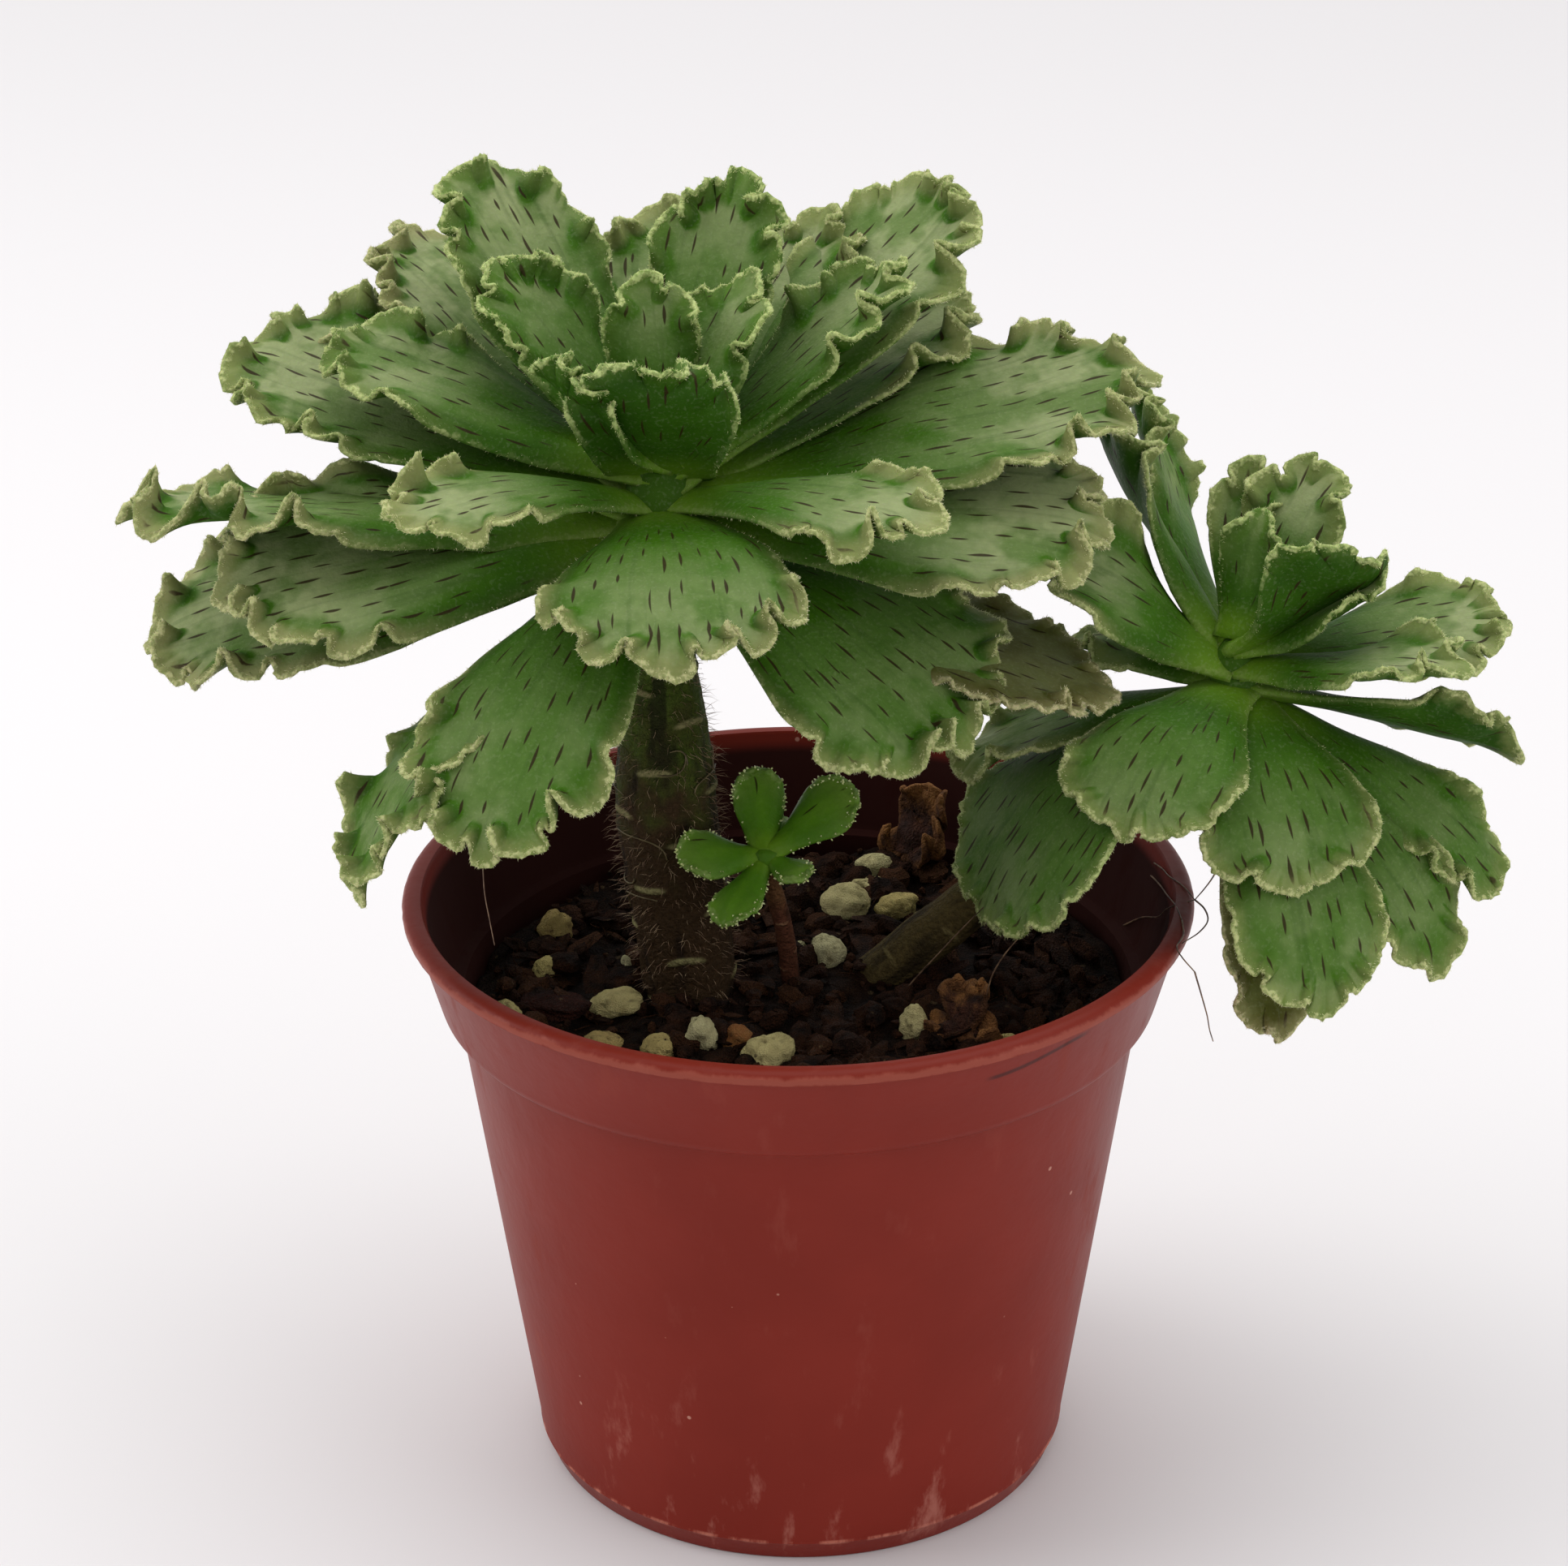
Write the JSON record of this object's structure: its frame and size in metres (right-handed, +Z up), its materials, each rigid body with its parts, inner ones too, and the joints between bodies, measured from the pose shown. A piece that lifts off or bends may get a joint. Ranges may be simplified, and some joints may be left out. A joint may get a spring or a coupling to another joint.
{
  "type": "potted rosette succulent",
  "caption": "Rosette succulent with wavy-edged leaves, a leaning side branch and a young shoot, rooted in soil in a round tapered nursery pot with a collar.",
  "frame": {"origin": "centre of the pot's base, on the surface that it stands on", "axes": "+Z up along the pot's axis, +X towards the side branch, -Y towards the viewer of the picture"},
  "size_m": [0.1464, 0.0869, 0.1405],
  "materials": {
    "pot_plastic": "satin",
    "soil": "matte",
    "stem_bark": "matte",
    "shoot_bark": "matte",
    "leaf": "matte",
    "young_leaf": "matte",
    "pumice": "matte",
    "bark": "matte",
    "dry_leaf": "matte"
  },
  "bodies": {
    "root": {"pot": "pot_plastic", "soil": "soil", "main_stem": "stem_bark", "side_stem": "stem_bark", "shoot_stem": "shoot_bark", "main_rosette": "leaf", "side_rosette": "leaf", "shoot_rosette": "young_leaf", "pumice_01": "pumice", "pumice_02": "pumice", "pumice_03": "pumice", "pumice_04": "pumice", "pumice_05": "pumice", "pumice_06": "pumice", "pumice_07": "pumice", "pumice_08": "pumice", "pumice_09": "pumice", "pumice_10": "pumice", "pumice_11": "pumice", "pumice_12": "pumice", "pumice_13": "pumice", "pumice_14": "pumice", "pumice_15": "pumice", "pumice_16": "pumice", "bark_chip": "bark", "dead_leaf_back": "dry_leaf", "dead_leaf_front": "dry_leaf"}
  },
  "joints": []
}
